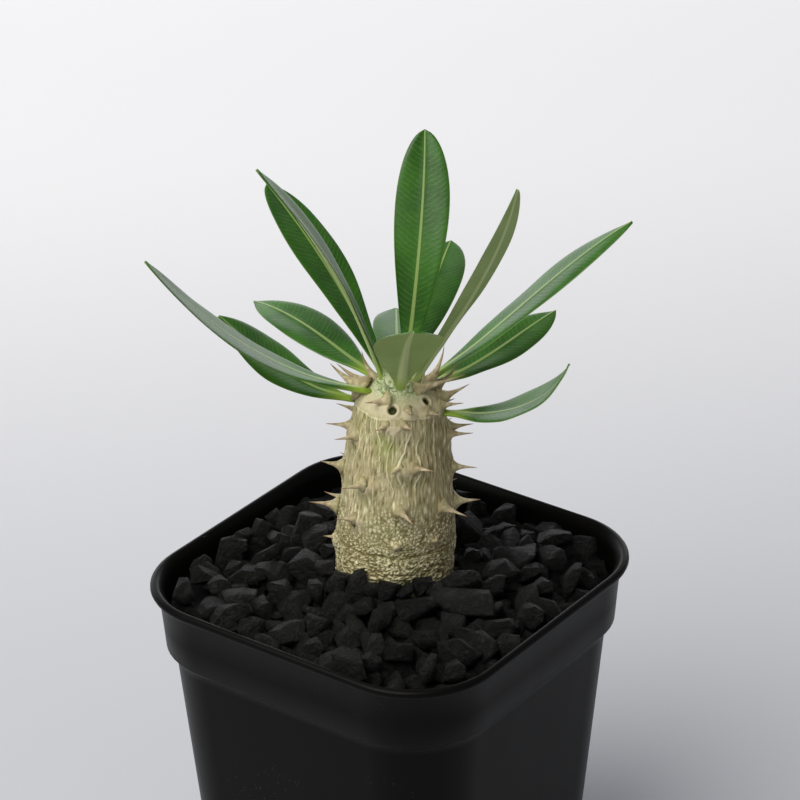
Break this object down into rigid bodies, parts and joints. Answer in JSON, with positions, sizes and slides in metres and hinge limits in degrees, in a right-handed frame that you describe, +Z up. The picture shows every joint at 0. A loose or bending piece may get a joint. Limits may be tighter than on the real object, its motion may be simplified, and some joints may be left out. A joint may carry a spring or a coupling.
{
  "type": "potted succulent plant",
  "caption": "Small spiny caudex succulent with a rosette of long narrow leaves, in a square tapered nursery pot topped with dark gravel.",
  "frame": {"origin": "middle of the pot's flat underside, on the surface that it rests on", "axes": "+Z up along the pot's axis, X and Y along the pot's sides; the picture was taken from between -Y and +X"},
  "size_m": [0.0926, 0.094, 0.2012],
  "materials": {
    "pot": "satin black moulded plastic",
    "soil": "crumbly dark potting mix",
    "gravel": "matte charcoal stone with rough broken faces",
    "trunk": "dull bark, finely wrinkled",
    "leaf": "leathery green, satin above"
  },
  "bodies": {
    "root": {"pot": "pot", "soil": "soil", "gravel": "gravel", "trunk": "trunk", "leaf_01": "leaf", "leaf_02": "leaf", "leaf_03": "leaf", "leaf_04": "leaf", "leaf_05": "leaf", "leaf_06": "leaf", "leaf_07": "leaf", "leaf_08": "leaf", "leaf_09": "leaf", "leaf_10": "leaf", "leaf_11": "leaf", "leaf_12": "leaf", "leaf_13": "leaf"}
  },
  "joints": []
}
